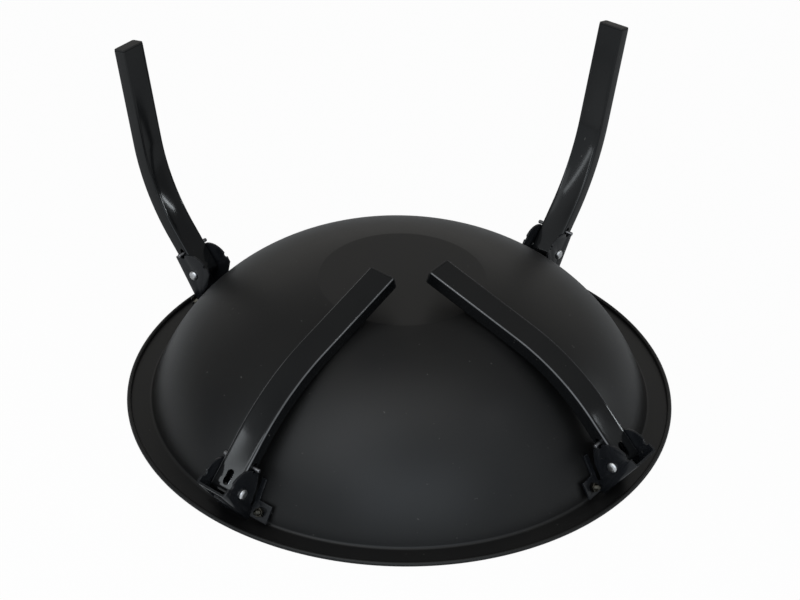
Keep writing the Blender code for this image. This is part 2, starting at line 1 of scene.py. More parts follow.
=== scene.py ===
import json
import math

import bmesh
import bpy
from mathutils import Matrix, Vector


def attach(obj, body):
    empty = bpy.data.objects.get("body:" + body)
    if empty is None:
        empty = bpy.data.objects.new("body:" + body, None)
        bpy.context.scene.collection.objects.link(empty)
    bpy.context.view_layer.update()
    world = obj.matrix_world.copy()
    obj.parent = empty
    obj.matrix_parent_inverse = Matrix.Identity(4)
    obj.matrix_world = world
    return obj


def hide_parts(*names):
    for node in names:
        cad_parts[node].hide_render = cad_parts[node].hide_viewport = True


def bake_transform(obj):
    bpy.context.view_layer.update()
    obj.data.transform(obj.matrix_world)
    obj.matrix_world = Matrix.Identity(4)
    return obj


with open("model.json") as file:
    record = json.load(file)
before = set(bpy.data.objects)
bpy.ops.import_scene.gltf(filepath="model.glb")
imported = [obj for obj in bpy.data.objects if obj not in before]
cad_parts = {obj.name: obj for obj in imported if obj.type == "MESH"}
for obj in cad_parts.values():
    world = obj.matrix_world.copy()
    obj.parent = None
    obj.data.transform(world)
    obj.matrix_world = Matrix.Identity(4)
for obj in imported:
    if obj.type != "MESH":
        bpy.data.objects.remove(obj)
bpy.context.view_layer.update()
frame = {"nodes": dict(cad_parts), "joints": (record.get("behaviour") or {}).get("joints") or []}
scene = bpy.context.scene
scene.view_settings.view_transform = "Standard"

# The photograph's camera: about 2 m from the bowl, looking down on it by 35 degrees with a long lens.
# It leans a degree and a half, as the photographer held it.
CAMERA_PLACE = (-0.00005, -1.67836, 1.09504)
LOOK_DOWN, PAN, ROLL = 34.6108, 0.0326, 1.4065
camera_data = bpy.data.cameras.new("photo_camera")
camera_data.sensor_width = 36.0
camera_data.lens = 93.736
camera_data.shift_y = 0.04
camera_data.clip_start = 0.05
camera_data.clip_end = 30.0
camera = bpy.data.objects.new("photo_camera", camera_data)
scene.collection.objects.link(camera)
camera.matrix_world = (
    Matrix.Translation(CAMERA_PLACE)
    @ Matrix.Rotation(math.radians(PAN), 4, "Z")
    @ Matrix.Rotation(math.radians(90 - LOOK_DOWN), 4, "X")
    @ Matrix.Rotation(math.radians(ROLL), 4, "Z"))
scene.camera = camera


# The studio: a floor under the rim whose colour is painted light in front and on the left and painted shade
# behind, a dim surround that the paint mirrors, and lamps in front, at the sides and above. The camera sees
# floor and surround as white paper. The floor is clear under the bowl and from below, so that a view of the
# underside shows the inside.
def put(tree, kind, feeds=None, **settings):
    """Adds a node to a tree; feeds maps its sockets to plain values or to other nodes' outputs."""
    node = tree.nodes.new(kind)
    for name, value in settings.items():
        setattr(node, name, value)
    for key, source in (feeds or {}).items():
        if isinstance(source, bpy.types.NodeSocket):
            tree.links.new(source, node.inputs[key])
        else:
            node.inputs[key].default_value = source
    return node


def number(tree, operation, *values):
    """The result of one Math node."""
    return put(tree, "ShaderNodeMath", dict(enumerate(values)), operation=operation).outputs[0]


def blend_colours(tree, factor, dark, light):
    """One Mix node between two colours."""
    return put(tree, "ShaderNodeMix", {0: factor, 6: dark, 7: light}, data_type="RGBA").outputs[2]


def ramp(tree, value, low, high):
    """A smooth rise from 0 to 1 as the value goes from low to high."""
    feeds = {"Value": value, "From Min": low, "From Max": high, "To Min": 0.0, "To Max": 1.0}
    return put(tree, "ShaderNodeMapRange", feeds, interpolation_type="SMOOTHSTEP").outputs["Result"]


def fresh_material(name):
    """An empty node material and its tree."""
    material = bpy.data.materials.new(name)
    material.use_nodes = True
    material.node_tree.nodes.clear()
    return material, material.node_tree


surround = bpy.data.worlds.new("studio_surround")
surround.use_nodes = True
scene.world = surround
sky = surround.node_tree
sky.nodes.clear()
way = put(sky, "ShaderNodeSeparateXYZ", {"Vector": put(sky, "ShaderNodeTexCoord").outputs["Generated"]}).outputs
# The mirrored room: brightest in front, an even glow all round, and a wall behind that ends half-way up
FRONT_GLOW, FRONT_RISE, SIDE_GLOW, TOP_GLOW, EVEN_GLOW = 0.37, 0.12, 0.09, 0.22, 0.11
WALL_GLOW, WALL_RISE, WALL_TOP, WALL_SOLID = 0.13, 1.30, 0.56, 0.42
COOL, WARM, WHITE = (0.85, 0.93, 1.0, 1.0), (1.0, 0.98, 0.94, 1.0), (1.0, 1.0, 1.0, 1.0)
up = number(sky, "MAXIMUM", way["Z"], 0.0)
front = number(sky, "MULTIPLY", ramp(sky, way["Y"], 0.05, -0.40),
               number(sky, "MULTIPLY_ADD", up, FRONT_RISE, FRONT_GLOW))
sideways = ramp(sky, number(sky, "ABSOLUTE", way["X"]), 0.0, 0.8)
sides = number(sky, "MULTIPLY_ADD", sideways, SIDE_GLOW, front)
above = number(sky, "MULTIPLY_ADD", number(sky, "MULTIPLY", up, up), TOP_GLOW, sides)
backward = number(sky, "POWER", number(sky, "MAXIMUM", way["Y"], 0.0), 4.0)
wall = number(sky, "MULTIPLY", ramp(sky, way["Z"], WALL_TOP, WALL_SOLID),
              number(sky, "MULTIPLY_ADD", up, WALL_RISE, WALL_GLOW))
behind = number(sky, "MULTIPLY_ADD", backward, wall, above)
around = number(sky, "ADD", behind, EVEN_GLOW)
seen = put(sky, "ShaderNodeLightPath")
paper = number(sky, "MAXIMUM", seen.outputs["Is Camera Ray"], seen.outputs["Is Transmission Ray"])
strength = put(sky, "ShaderNodeMix", {"Factor": paper, "A": around, "B": 1.0}).outputs["Result"]
tint = blend_colours(sky, number(sky, "MULTIPLY_ADD", way["Y"], 0.5, 0.5), COOL, WARM)
tint = blend_colours(sky, paper, tint, WHITE)
glow = put(sky, "ShaderNodeBackground", {"Color": tint, "Strength": strength})
put(sky, "ShaderNodeOutputWorld", {"Surface": glow.outputs[0]})

RIM_Z, FLOOR_HALF, CLEAR_RADIUS = -0.132, 6, 0.26
FLOOR_PAINTED_SHADE, FLOOR_PAINTED_LIGHT, FLOOR_WHITE = (0.58, 0.58, 0.58, 1.0), (0.86, 0.86, 0.86, 1.0), 0.97
floor_mesh = bpy.data.meshes.new("studio_floor")
floor_mesh.from_pydata([(x * FLOOR_HALF, y * FLOOR_HALF, RIM_Z) for x, y in ((-1, -1), (1, -1), (1, 1), (-1, 1))],
                       [], [(0, 1, 2, 3)])
studio_floor = bpy.data.objects.new("studio_floor", floor_mesh)
scene.collection.objects.link(studio_floor)
floor_paint, tree = fresh_material("pale_floor")
over = put(tree, "ShaderNodeSeparateXYZ", {"Vector": put(tree, "ShaderNodeTexCoord").outputs["Object"]}).outputs
# Painted light and shade on the floor: its colour is paler towards the front and left, where the lamps fall, and
# darker behind
lit_side = number(tree, "MULTIPLY_ADD", over["Y"], -0.92, number(tree, "MULTIPLY", over["X"], -0.40))
floor_light_and_shade = blend_colours(tree, ramp(tree, lit_side, -0.35, 0.35), FLOOR_PAINTED_SHADE, FLOOR_PAINTED_LIGHT)
shade = put(tree, "ShaderNodeBsdfDiffuse", {"Color": floor_light_and_shade})
white = put(tree, "ShaderNodeEmission", {"Color": WHITE, "Strength": 1.0})
seen = put(tree, "ShaderNodeLightPath")
paper = number(tree, "MULTIPLY", seen.outputs["Is Camera Ray"], FLOOR_WHITE)
look = put(tree, "ShaderNodeMixShader", {0: paper, 1: shade.outputs[0], 2: white.outputs[0]})
from_below = put(tree, "ShaderNodeNewGeometry").outputs["Backfacing"]
squared = number(tree, "MULTIPLY_ADD", over["X"], over["X"], number(tree, "MULTIPLY", over["Y"], over["Y"]))
under_bowl = number(tree, "LESS_THAN", number(tree, "SQRT", squared), CLEAR_RADIUS)
clear = put(tree, "ShaderNodeBsdfTransparent")
opening = number(tree, "MAXIMUM", from_below, under_bowl)
look = put(tree, "ShaderNodeMixShader", {0: opening, 1: look.outputs[0], 2: clear.outputs[0]})
put(tree, "ShaderNodeOutputMaterial", {"Surface": look.outputs[0]})
floor_mesh.materials.append(floor_paint)

# Each lamp: its place, its turn about its beam in degrees, width, height, power and tint. All face the bowl
for name, place, lean, width, tall, watts, tint in (
        ("key_box", (-1.2, -1.6, 2.2), 0, 2.2, 2.2, 10.0, (0.93, 0.97, 1.0)),
        ("key_glint", (-1.36, -1.62, 2.12), 0, 0.15, 0.15, 0.8, (1.0, 1.0, 1.0)),
        ("right_glint", (1.79, -0.72, 2.30), 0, 0.15, 0.15, 0.8, (1.0, 1.0, 1.0)),
        ("front_box", (0.3, -2.8, 1.3), 0, 2.6, 1.6, 12.0, (0.84, 0.92, 1.0)),
        ("right_strip", (1.9, 0.50, 0.405), 31, 0.05, 0.55, 1.3, (0.90, 0.96, 1.0)),
        ("left_strip", (-1.9, -0.63, 0.87), -15, 0.11, 1.25, 1.6, (0.90, 0.96, 1.0)),
        ("overhead_box", (0.0, -0.6, 2.8), 0, 2.4, 1.6, 6.5, (1.0, 0.99, 0.97))):
    lamp_data = bpy.data.lights.new(name, "AREA")
    lamp_data.shape = "RECTANGLE"
    lamp_data.size = width
    lamp_data.size_y = tall
    lamp_data.energy = watts
    lamp_data.color = tint
    lamp = bpy.data.objects.new(name, lamp_data)
    lamp.visible_camera = False
    scene.collection.objects.link(lamp)
    aim = (-Vector(place)).to_track_quat("-Z", "Y").to_matrix().to_4x4()
    lamp.matrix_world = Matrix.Translation(place) @ aim @ Matrix.Rotation(math.radians(lean), 4, "Z")


# The bowl: one steel sheet spun to a dome with a flat base disc, a flat flange and a thin rolled rim.
# Eight bolt holes are punched low in its flank. It is sprayed with satin black high-temperature paint.
MERGE = 0.000002


def arc(centre, radius, start, end, steps):
    """Points of an arc, with angles measured from +z towards +x."""
    angles = [start + (end - start) * step / steps for step in range(steps + 1)]
    return [(centre[0] + radius * math.sin(a), centre[1] + radius * math.cos(a)) for a in angles]


def chain(name, points, closed=False):
    """A mesh of points joined by edges only, for a node tree to sweep."""
    mesh = bpy.data.meshes.new(name)
    pairs = [(i, i + 1) for i in range(len(points) - 1)]
    mesh.from_pydata(points, pairs + ([(len(points) - 1, 0)] if closed else []), [])
    return mesh


def open_tree(name, *inputs):
    """A Geometry Nodes tree with named inputs and one geometry output."""
    tree = bpy.data.node_groups.new(name, "GeometryNodeTree")
    for label, kind in inputs:
        tree.interface.new_socket(label, in_out="INPUT", socket_type=kind)
    tree.interface.new_socket("Piece", in_out="OUTPUT", socket_type="NodeSocketGeometry")
    return tree, put(tree, "NodeGroupInput").outputs


def close_tree(tree, geometry, finish):
    """Ends a tree in Realize Instances and Set Material."""
    real = put(tree, "GeometryNodeRealizeInstances", {"Geometry": geometry})
    painted = put(tree, "GeometryNodeSetMaterial", {"Geometry": real.outputs[0], "Material": finish})
    put(tree, "NodeGroupOutput", {0: painted.outputs[0]})


def grid_cell(tree, columns, rows):
    """A grid of columns by rows of points, and the column and row number of each point."""
    grid = put(tree, "GeometryNodeMeshGrid", {"Vertices X": columns, "Vertices Y": rows})
    index = number(tree, "ADD", put(tree, "GeometryNodeInputIndex").outputs[0], 0.5)
    column = number(tree, "FLOOR", number(tree, "DIVIDE", index, rows))
    row = number(tree, "FLOOR", number(tree, "MODULO", index, rows))
    return grid.outputs["Mesh"], column, row


def point_of(tree, geometry, value, index):
    """A vector of one numbered point of a geometry."""
    node = put(tree, "GeometryNodeSampleIndex", {"Geometry": geometry, "Index": index}, data_type="FLOAT_VECTOR")
    tree.links.new(value, node.inputs["Value"])
    return node.outputs["Value"]


turned_profile, given = open_tree(
    "Turned Profile", ("Profile", "NodeSocketGeometry"), ("Steps", "NodeSocketInt"),
    ("Finish", "NodeSocketMaterial"))
tree = turned_profile
count = put(tree, "GeometryNodeAttributeDomainSize", {"Geometry": given["Profile"]}).outputs["Point Count"]
grid, column, row = grid_cell(tree, number(tree, "ADD", given["Steps"], 1), count)
spot = point_of(tree, given["Profile"], put(tree, "GeometryNodeInputPosition").outputs[0], row)
flat = put(tree, "ShaderNodeSeparateXYZ", {"Vector": spot}).outputs
angle = number(tree, "MULTIPLY", number(tree, "DIVIDE", column, given["Steps"]), math.tau)
turned = put(tree, "ShaderNodeCombineXYZ", {
    "X": number(tree, "MULTIPLY", flat["X"], number(tree, "COSINE", angle)),
    "Y": number(tree, "MULTIPLY", flat["X"], number(tree, "SINE", angle)), "Z": flat["Z"]})
laid = put(tree, "GeometryNodeSetPosition", {"Geometry": grid, "Position": turned.outputs[0]})
merged = put(tree, "GeometryNodeMergeByDistance", {"Geometry": laid.outputs[0], "Distance": MERGE})
close_tree(tree, merged.outputs[0], given["Finish"])


def grown(name, mesh, tree, **inputs):
    """The plain mesh that a node tree makes from a starting mesh and its named inputs."""
    thing = bpy.data.objects.new(name, mesh)
    scene.collection.objects.link(thing)
    modifier = thing.modifiers.new(tree.name, "NODES")
    modifier.node_group = tree
    for item in tree.interface.items_tree:
        if item.in_out == "INPUT" and item.name in inputs:
            modifier[item.identifier] = inputs[item.name]
    result = bpy.data.meshes.new_from_object(thing.evaluated_get(bpy.context.evaluated_depsgraph_get()))
    bpy.data.objects.remove(thing)
    result.name = name
    return result


def tidied(mesh, sharp=35.0):
    """Merges doubles, points the faces outwards, and shades smooth except at sharp edges."""
    bm = bmesh.new()
    bm.from_mesh(mesh)
    bmesh.ops.remove_doubles(bm, verts=bm.verts, dist=MERGE)
    bmesh.ops.dissolve_degenerate(bm, edges=bm.edges, dist=MERGE / 2)
    bmesh.ops.recalc_face_normals(bm, faces=bm.faces)
    bm.to_mesh(mesh)
    bm.free()
    mesh.shade_smooth()
    mesh.set_sharp_from_angle(angle=math.radians(sharp))
    return mesh


def cut_out(mesh, cutters, material):
    """The mesh with the cutters taken out of it."""
    name = mesh.name
    body = bpy.data.objects.new(name, mesh)
    scene.collection.objects.link(body)
    tools = []
    for cutter in cutters:
        tools.append(bpy.data.objects.new("cutter", cutter))
        scene.collection.objects.link(tools[-1])
        cut = body.modifiers.new("cut", "BOOLEAN")
        cut.solver = "EXACT"
        cut.object = tools[-1]
    result = bpy.data.meshes.new_from_object(body.evaluated_get(bpy.context.evaluated_depsgraph_get()))
    for thing in [body] + tools:
        bpy.data.objects.remove(thing)
    result.name = name
    result.materials.clear()
    result.materials.append(material)
    for face in result.polygons:
        face.material_index = 0
    return result


def fitted(name, mesh, body, slot, *nodes):
    """Sets a finished mesh in place as a piece that stands for these CAD nodes and rides on their body."""
    piece = bpy.data.objects.new(name, mesh)
    scene.collection.objects.link(piece)
    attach(piece, body)
    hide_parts(*nodes)


# Shared effect: the fine grain of sprayed paint over slow changes of tone
spray_grain = bpy.data.node_groups.new("Spray Grain", "ShaderNodeTree")
for label, start in (("Grain per Metre", 900.0), ("Cloud per Metre", 9.0)):
    setting = spray_grain.interface.new_socket(label, in_out="INPUT", socket_type="NodeSocketFloat")
    setting.default_value = start
for label in ("Cloud", "Grain", "Fleck"):
    spray_grain.interface.new_socket(label, in_out="OUTPUT", socket_type="NodeSocketFloat")
tree = spray_grain
given = put(tree, "NodeGroupInput").outputs
here = put(tree, "ShaderNodeTexCoord").outputs["Object"]
cloud = put(tree, "ShaderNodeTexNoise", {"Vector": here, "Scale": given["Cloud per Metre"], "Detail": 4.0,
                                         "Roughness": 0.55})
grain = put(tree, "ShaderNodeTexNoise", {"Vector": here, "Scale": given["Grain per Metre"], "Detail": 2.0,
                                         "Roughness": 0.6})
fleck = put(tree, "ShaderNodeTexNoise", {"Vector": here, "Scale": 260.0, "Detail": 1.0})
specks = put(tree, "ShaderNodeMapRange", {"Value": fleck.outputs["Fac"], "From Min": 0.77, "From Max": 0.81})
put(tree, "NodeGroupOutput", {"Cloud": cloud.outputs["Fac"], "Grain": grain.outputs["Fac"],
                              "Fleck": specks.outputs["Result"]})


DUST = (0.09, 0.088, 0.082, 1.0)


def black_paint(name, dark, light, gloss, grain_height, clouds=9.0, edge_highlight_colour=None):
    """Black paint whose tone and gloss drift slowly, with a fine sprayed grain, dust flecks and a painted
    highlight on marked edges.
    """
    material, tree = fresh_material(name)
    spray = put(tree, "ShaderNodeGroup", node_tree=spray_grain)
    spray.inputs["Cloud per Metre"].default_value = clouds
    drift = put(tree, "ShaderNodeMapRange", {"Value": spray.outputs["Cloud"], "From Min": 0.3, "From Max": 0.7})
    tone = blend_colours(tree, drift.outputs["Result"], (*dark, 1.0), (*light, 1.0))
    dusty = number(tree, "MULTIPLY", spray.outputs["Fleck"], 0.6)
    tone = blend_colours(tree, dusty, tone, DUST)
    if edge_highlight_colour:
        # Painted highlight: marked edges are lightened towards a pale grey, broken up by the slow cloud, to stand
        # for glints on rounded corners
        edge = put(tree, "ShaderNodeAttribute", attribute_name="rub").outputs["Fac"]
        patchy = number(tree, "MULTIPLY_ADD", spray.outputs["Cloud"], 1.6, -0.1)
        tone = blend_colours(tree, number(tree, "MULTIPLY", edge, patchy), tone, (*edge_highlight_colour, 1.0))
    half_cloud = number(tree, "MULTIPLY", spray.outputs["Cloud"], 0.5)
    rough = put(tree, "ShaderNodeMapRange", {
        "Value": number(tree, "MULTIPLY_ADD", spray.outputs["Grain"], 0.5, half_cloud),
        "From Min": 0.3, "From Max": 0.7, "To Min": gloss[0], "To Max": gloss[1]})
    bump = put(tree, "ShaderNodeBump", {
        "Height": spray.outputs["Grain"], "Strength": 0.35, "Distance": grain_height})
    shader = put(tree, "ShaderNodeBsdfPrincipled", {
        "Base Color": tone, "Roughness": rough.outputs["Result"], "Specular IOR Level": 0.4,
        "Normal": bump.outputs["Normal"]})
    put(tree, "ShaderNodeOutputMaterial", {"Surface": shader.outputs[0]})
    return material


satin_bowl_paint = black_paint(
    "satin_bowl_paint", (0.0034, 0.0034, 0.0039), (0.0062, 0.0059, 0.0053), (0.34, 0.44), 0.00002)
# The profile is (radius, height) points: the disc, a soft crease, the dome, the fillet, the flange and its bead
DOME, DOME_RADIUS = (0.056216, -0.200474), 0.202
RIM_RADIUS, BOWL_SHEET, FILLET_RADIUS, BEAD = 0.270, 0.0012, 0.0035, 0.00225
EDGE_SLOPE, CREASE_TURN, CREASE_START = 0.123, 0.004, (0.0802, 0.0)
DOME_STEPS, FILLET_STEPS, BEAD_STEPS, BOWL_STEPS = 60, 12, 20, 256
rise = RIM_Z + BOWL_SHEET + FILLET_RADIUS - DOME[1]
reach = math.sqrt((DOME_RADIUS + FILLET_RADIUS) ** 2 - rise ** 2)
FILLET = (DOME[0] + reach, DOME[1] + rise)
FILLET_SLOPE = math.atan2(reach, rise)
middle, last = arc(DOME, DOME_RADIUS, EDGE_SLOPE, EDGE_SLOPE + CREASE_TURN, 1)
profile = [(0.0, 0.0), (0.040, 0.0), (0.070, 0.0)]
for t in (0.0, 0.2, 0.4, 0.6, 0.8, 1.0):
    profile.append(tuple(CREASE_START[i] * (1 - t) ** 2 + 2 * middle[i] * t * (1 - t) + last[i] * t * t
                         for i in (0, 1)))
profile += arc(DOME, DOME_RADIUS, EDGE_SLOPE + CREASE_TURN, FILLET_SLOPE, DOME_STEPS)[1:]
profile += arc(FILLET, FILLET_RADIUS, FILLET_SLOPE + math.pi, math.pi, FILLET_STEPS)[1:]
bead_middle = (RIM_RADIUS - BEAD, RIM_Z + BEAD)
profile += arc(bead_middle, BEAD, -math.acos((BOWL_SHEET - BEAD) / BEAD), math.pi, BEAD_STEPS)
profile += arc(FILLET, FILLET_RADIUS + BOWL_SHEET, math.pi, FILLET_SLOPE + math.pi, FILLET_STEPS)
inner = DOME_RADIUS - BOWL_SHEET
profile += arc(DOME, inner, FILLET_SLOPE, math.acos((-BOWL_SHEET - DOME[1]) / inner), DOME_STEPS)[1:]
profile.append((0.0, -BOWL_SHEET))
shell = grown("bowl_shell", chain("bowl_profile", [(r, 0.0, z) for r, z in profile]), turned_profile,
              Steps=BOWL_STEPS, Finish=satin_bowl_paint)

# The legs' frames come from the joints: the hinge pin's line is their Y and the lock's slide is their Z
LEGS = ("br", "bl", "fl", "fr")
OUTER_STOP, FOLD, LOCK_PLAY = math.radians(41.4), math.radians(86.09257), math.radians(3.0)
leg_frames, bracket_frames = {}, {}
for leg in LEGS:
    hinge = next(j for j in frame["joints"] if j["name"] == "leg_hinge_" + leg)
    slide = next(j for j in frame["joints"] if j["name"] == "lock_slide_" + leg)
    z = Vector(slide["axis"]).normalized()
    y = Vector(hinge["axis"]).normalized() * (1 if leg in ("fl", "fr") else -1)
    x = y.cross(z)
    place = Matrix.Translation(hinge["pos_m"])
    leg_frames[leg] = place @ Matrix((x, y, z)).transposed().to_4x4()
    resting_fold = {"br": 0.0, "bl": LOCK_PLAY}.get(leg, FOLD)
    bracket_frames[leg] = leg_frames[leg] @ Matrix.Rotation(resting_fold - OUTER_STOP, 4, "Y")

# The bolts' frames: two feet to a bracket, each leaning with the bowl's flank
HINGE, BOLT_BASE = (0.2577, -0.0944), (0.242755, -0.119867)
FOOT_SLOPE, BOLT_SIDE = 1.049079, 0.0262
bolt_frames = {}
for leg in LEGS:
    for side, offset in (("left", -BOLT_SIDE), ("right", BOLT_SIDE)):
        bolt_frames[leg, side] = (
            bracket_frames[leg]
            @ Matrix.Translation((BOLT_BASE[0] - HINGE[0], offset, BOLT_BASE[1] - HINGE[1]))
            @ Matrix.Rotation(FOOT_SLOPE, 4, "Y"))


def turned_piece(name, points, steps, material, sharp=35.0):
    """A small solid turned about Z from (radius, height) points."""
    return tidied(grown(name, chain(name, [(r, 0.0, h) for r, h in points]), turned_profile,
                        Steps=steps, Finish=material), sharp)


def punch_through(name, radius, low, high):
    """A round cutter along Z."""
    return turned_piece(name, [(0, high), (radius, high), (radius, low), (0, low)], 32, None)


def finished(name, bm):
    """The mesh of a bmesh, which is freed."""
    mesh = bpy.data.meshes.new(name)
    bm.to_mesh(mesh)
    bm.free()
    return mesh


HOLE_RADIUS = 0.0028
punches = bmesh.new()
for place in bolt_frames.values():
    hole = punch_through("bolt_hole", HOLE_RADIUS, -0.012, 0.006)
    hole.transform(place)
    punches.from_mesh(hole)
shell = tidied(cut_out(tidied(shell), [finished("bolt_holes", punches)], satin_bowl_paint), 30.0)
fitted("bowl_shell", shell, "bowl_body", "bowl_paint", "bowl")


# The four brackets: 2 mm sheet folded into a channel, with a web behind the leg, two ears with a cam and
# notches, and two flat feet. Their sheared edges are eased, and they are dipped in semi-gloss black paint,
# with a painted highlight along the eased edges.
def named(tree, name, kind="FLOAT_VECTOR"):
    """A named attribute of the points."""
    node = put(tree, "GeometryNodeInputNamedAttribute", {"Name": name}, data_type=kind)
    return next(s for s in node.outputs if s.enabled and s.name == "Attribute")


set_on_points, given = open_tree(
    "Set on Stations", ("Part", "NodeSocketGeometry"), ("Stations", "NodeSocketObject"),
    ("Finish", "NodeSocketMaterial"))
tree = set_on_points
stations = put(tree, "GeometryNodeObjectInfo", {"Object": given["Stations"]})
spread = put(tree, "GeometryNodeInstanceOnPoints", {
    "Points": stations.outputs["Geometry"], "Instance": given["Part"],
    "Rotation": named(tree, "facing", "QUATERNION")})
close_tree(tree, spread.outputs["Instances"], given["Finish"])


def set_on(name, mesh, frames, material):
    """One mesh made of a copy of this one on each of these frames."""
    points = bpy.data.meshes.new("stations")
    points.from_pydata([f.translation for f in frames], [], [])
    turns = points.attributes.new("facing", "QUATERNION", "POINT")
    for item, f in zip(turns.data, frames):
        item.value = f.to_quaternion()
    holder = bpy.data.objects.new("stations", points)
    scene.collection.objects.link(holder)
    result = grown(name, mesh, set_on_points, Stations=holder, Finish=material)
    bpy.data.objects.remove(holder)
    return result


# A pale grey painted highlight for the edges of the brackets and legs, standing in for glints on their corners
PAINTED_EDGE_HIGHLIGHT = (0.22, 0.22, 0.225)
WELD, FLAT_ENOUGH = 0.000005, math.radians(0.6)
SHEAR_EASE, SHARP_FOLD = 0.00035, math.radians(38)
bracket_paint = black_paint(
    "dipped_bracket_paint", (0.0080, 0.0088, 0.0108), (0.0108, 0.0115, 0.0130), (0.18, 0.27), 0.00001,
    clouds=40.0, edge_highlight_colour=PAINTED_EDGE_HIGHLIGHT)
sheet = frame["nodes"]["bracket_br"].data.copy()
sheet.name = "bracket_sheet"
sheet.transform(bracket_frames["br"].inverted())
bm = bmesh.new()
bm.from_mesh(sheet)
bmesh.ops.remove_doubles(bm, verts=bm.verts, dist=WELD)
bmesh.ops.dissolve_limit(bm, angle_limit=FLAT_ENOUGH, verts=bm.verts, edges=bm.edges)
sheared = [edge for edge in bm.edges if len(edge.link_faces) == 2 and edge.calc_face_angle() > SHARP_FOLD]
round_faces = set(bmesh.ops.bevel(
    bm, geom=sheared, offset=SHEAR_EASE, segments=2, profile=0.5, affect="EDGES", clamp_overlap=True)["faces"])
# The faces of the eased edges are marked for the painted highlight
rub = bm.verts.layers.float.new("rub")
for vert in {vert for face in round_faces for vert in face.verts}:
    vert[rub] = float(all(face in round_faces for face in vert.link_faces))
bm.to_mesh(sheet)
bm.free()
sheet = tidied(sheet, 30.0)
brackets = set_on("hinge_brackets", sheet, list(bracket_frames.values()), bracket_paint)
fitted("hinge_brackets", brackets, "bowl_body", "bracket_paint", *["bracket_" + leg for leg in LEGS])

# The four hinge rivets: 5 mm steel shanks through both ears and the leg, with low domed heads on both sides.
# They are plated with bright zinc, which is a little scratched from assembly.
drawn_steel = bpy.data.node_groups.new("Worked Steel", "ShaderNodeTree")
setting = drawn_steel.interface.new_socket("Marks per Metre", in_out="INPUT", socket_type="NodeSocketFloat")
setting.default_value = 500.0
for label in ("Tone", "Marks"):
    drawn_steel.interface.new_socket(label, in_out="OUTPUT", socket_type="NodeSocketFloat")
tree = drawn_steel
given = put(tree, "NodeGroupInput").outputs
here = put(tree, "ShaderNodeTexCoord").outputs["Object"]
tone = put(tree, "ShaderNodeTexNoise", {"Vector": here, "Scale": 150.0, "Detail": 3.0})
marks = put(tree, "ShaderNodeTexNoise", {"Vector": here, "Scale": given["Marks per Metre"], "Detail": 5.0,
                                         "Roughness": 0.7})
put(tree, "NodeGroupOutput", {"Tone": tone.outputs["Fac"], "Marks": marks.outputs["Fac"]})


MARK_DEPTH = 0.00004


def plated_steel(name, dull, bright, gloss):
    """Plated steel with a patchy tone and fine marks in its gloss and surface."""
    material, tree = fresh_material(name)
    worked = put(tree, "ShaderNodeGroup", node_tree=drawn_steel)
    patch = put(tree, "ShaderNodeMapRange", {"Value": worked.outputs["Tone"], "From Min": 0.35, "From Max": 0.65})
    rough = put(tree, "ShaderNodeMapRange", {
        "Value": worked.outputs["Marks"], "From Min": 0.3, "From Max": 0.7,
        "To Min": gloss[0], "To Max": gloss[1]})
    bump = put(tree, "ShaderNodeBump", {
        "Height": worked.outputs["Marks"], "Strength": 0.3, "Distance": MARK_DEPTH})
    shader = put(tree, "ShaderNodeBsdfPrincipled", {
        "Base Color": blend_colours(tree, patch.outputs["Result"], (*dull, 1.0), (*bright, 1.0)),
        "Metallic": 1.0, "Roughness": rough.outputs["Result"], "Normal": bump.outputs["Normal"]})
    put(tree, "ShaderNodeOutputMaterial", {"Surface": shader.outputs[0]})
    return material


bright_zinc = plated_steel("bright_zinc_plate", (0.60, 0.60, 0.60), (0.80, 0.80, 0.81), (0.22, 0.36))
EAR_OUTSIDE, SEAT_GAP = 0.0167, 0.0003
seat, head, shank = EAR_OUTSIDE + SEAT_GAP, 0.0052, 0.0025
half = [(0.0, seat + 0.0024), (0.0016, seat + 0.00233), (0.0030, seat + 0.00208), (0.0041, seat + 0.0016),
        (0.0048, seat + 0.0010), (0.0051, seat + 0.0005), (head, seat + 0.0002), (head, seat), (shank, seat)]
TO_SIDE = Matrix.Rotation(math.pi / 2, 4, "X")
rivet = turned_piece("hinge_rivet", half + [(r, -h) for r, h in half[::-1]], 40, bright_zinc)
rivet.transform(TO_SIDE)
rivets = set_on("hinge_rivets", rivet, list(bracket_frames.values()), bright_zinc)
fitted("hinge_rivets", rivets, "bowl_body", "bright_steel", *["hinge_rivet_" + leg for leg in LEGS])

# Eight bolts hold the brackets: round heads inside the bowl, threaded shanks out through the feet, and
# hexagon nuts on them. Both are yellow-zinc steel that has gone dull.
dull_zinc = plated_steel("dull_yellow_zinc", (0.030, 0.029, 0.025), (0.085, 0.080, 0.066), (0.14, 0.30))
BRACKET_SHEET, NUT_HEIGHT, BOLT_PROUD, HEAD_SEAT = 0.002, 0.004, 0.0045, -0.004834
CREST, ROOT, PITCH, BOLT_HEAD = 0.0025, 0.00213, 0.0008, 0.00475
NUT_FACE = BRACKET_SHEET + SEAT_GAP
TIP = NUT_FACE + NUT_HEIGHT + BOLT_PROUD
thread = [(0.0, TIP), (0.0016, TIP), (0.0021, TIP - 0.0005)]
turn_top = TIP - 0.0007
while turn_top > NUT_FACE - 0.0015:
    thread += [(CREST, turn_top), (ROOT, turn_top - PITCH / 2)]
    turn_top -= PITCH
thread += [(CREST, turn_top), (CREST, HEAD_SEAT), (BOLT_HEAD, HEAD_SEAT), (BOLT_HEAD, HEAD_SEAT - 0.0004),
           (0.0044, HEAD_SEAT - 0.0014), (0.0036, HEAD_SEAT - 0.0023), (0.0022, HEAD_SEAT - 0.00285),
           (0.0, HEAD_SEAT - 0.003)]
bolt = turned_piece("foot_bolt", thread, 24, dull_zinc, 50.0)
bolts = set_on("foot_bolts", bolt, list(bolt_frames.values()), dull_zinc)
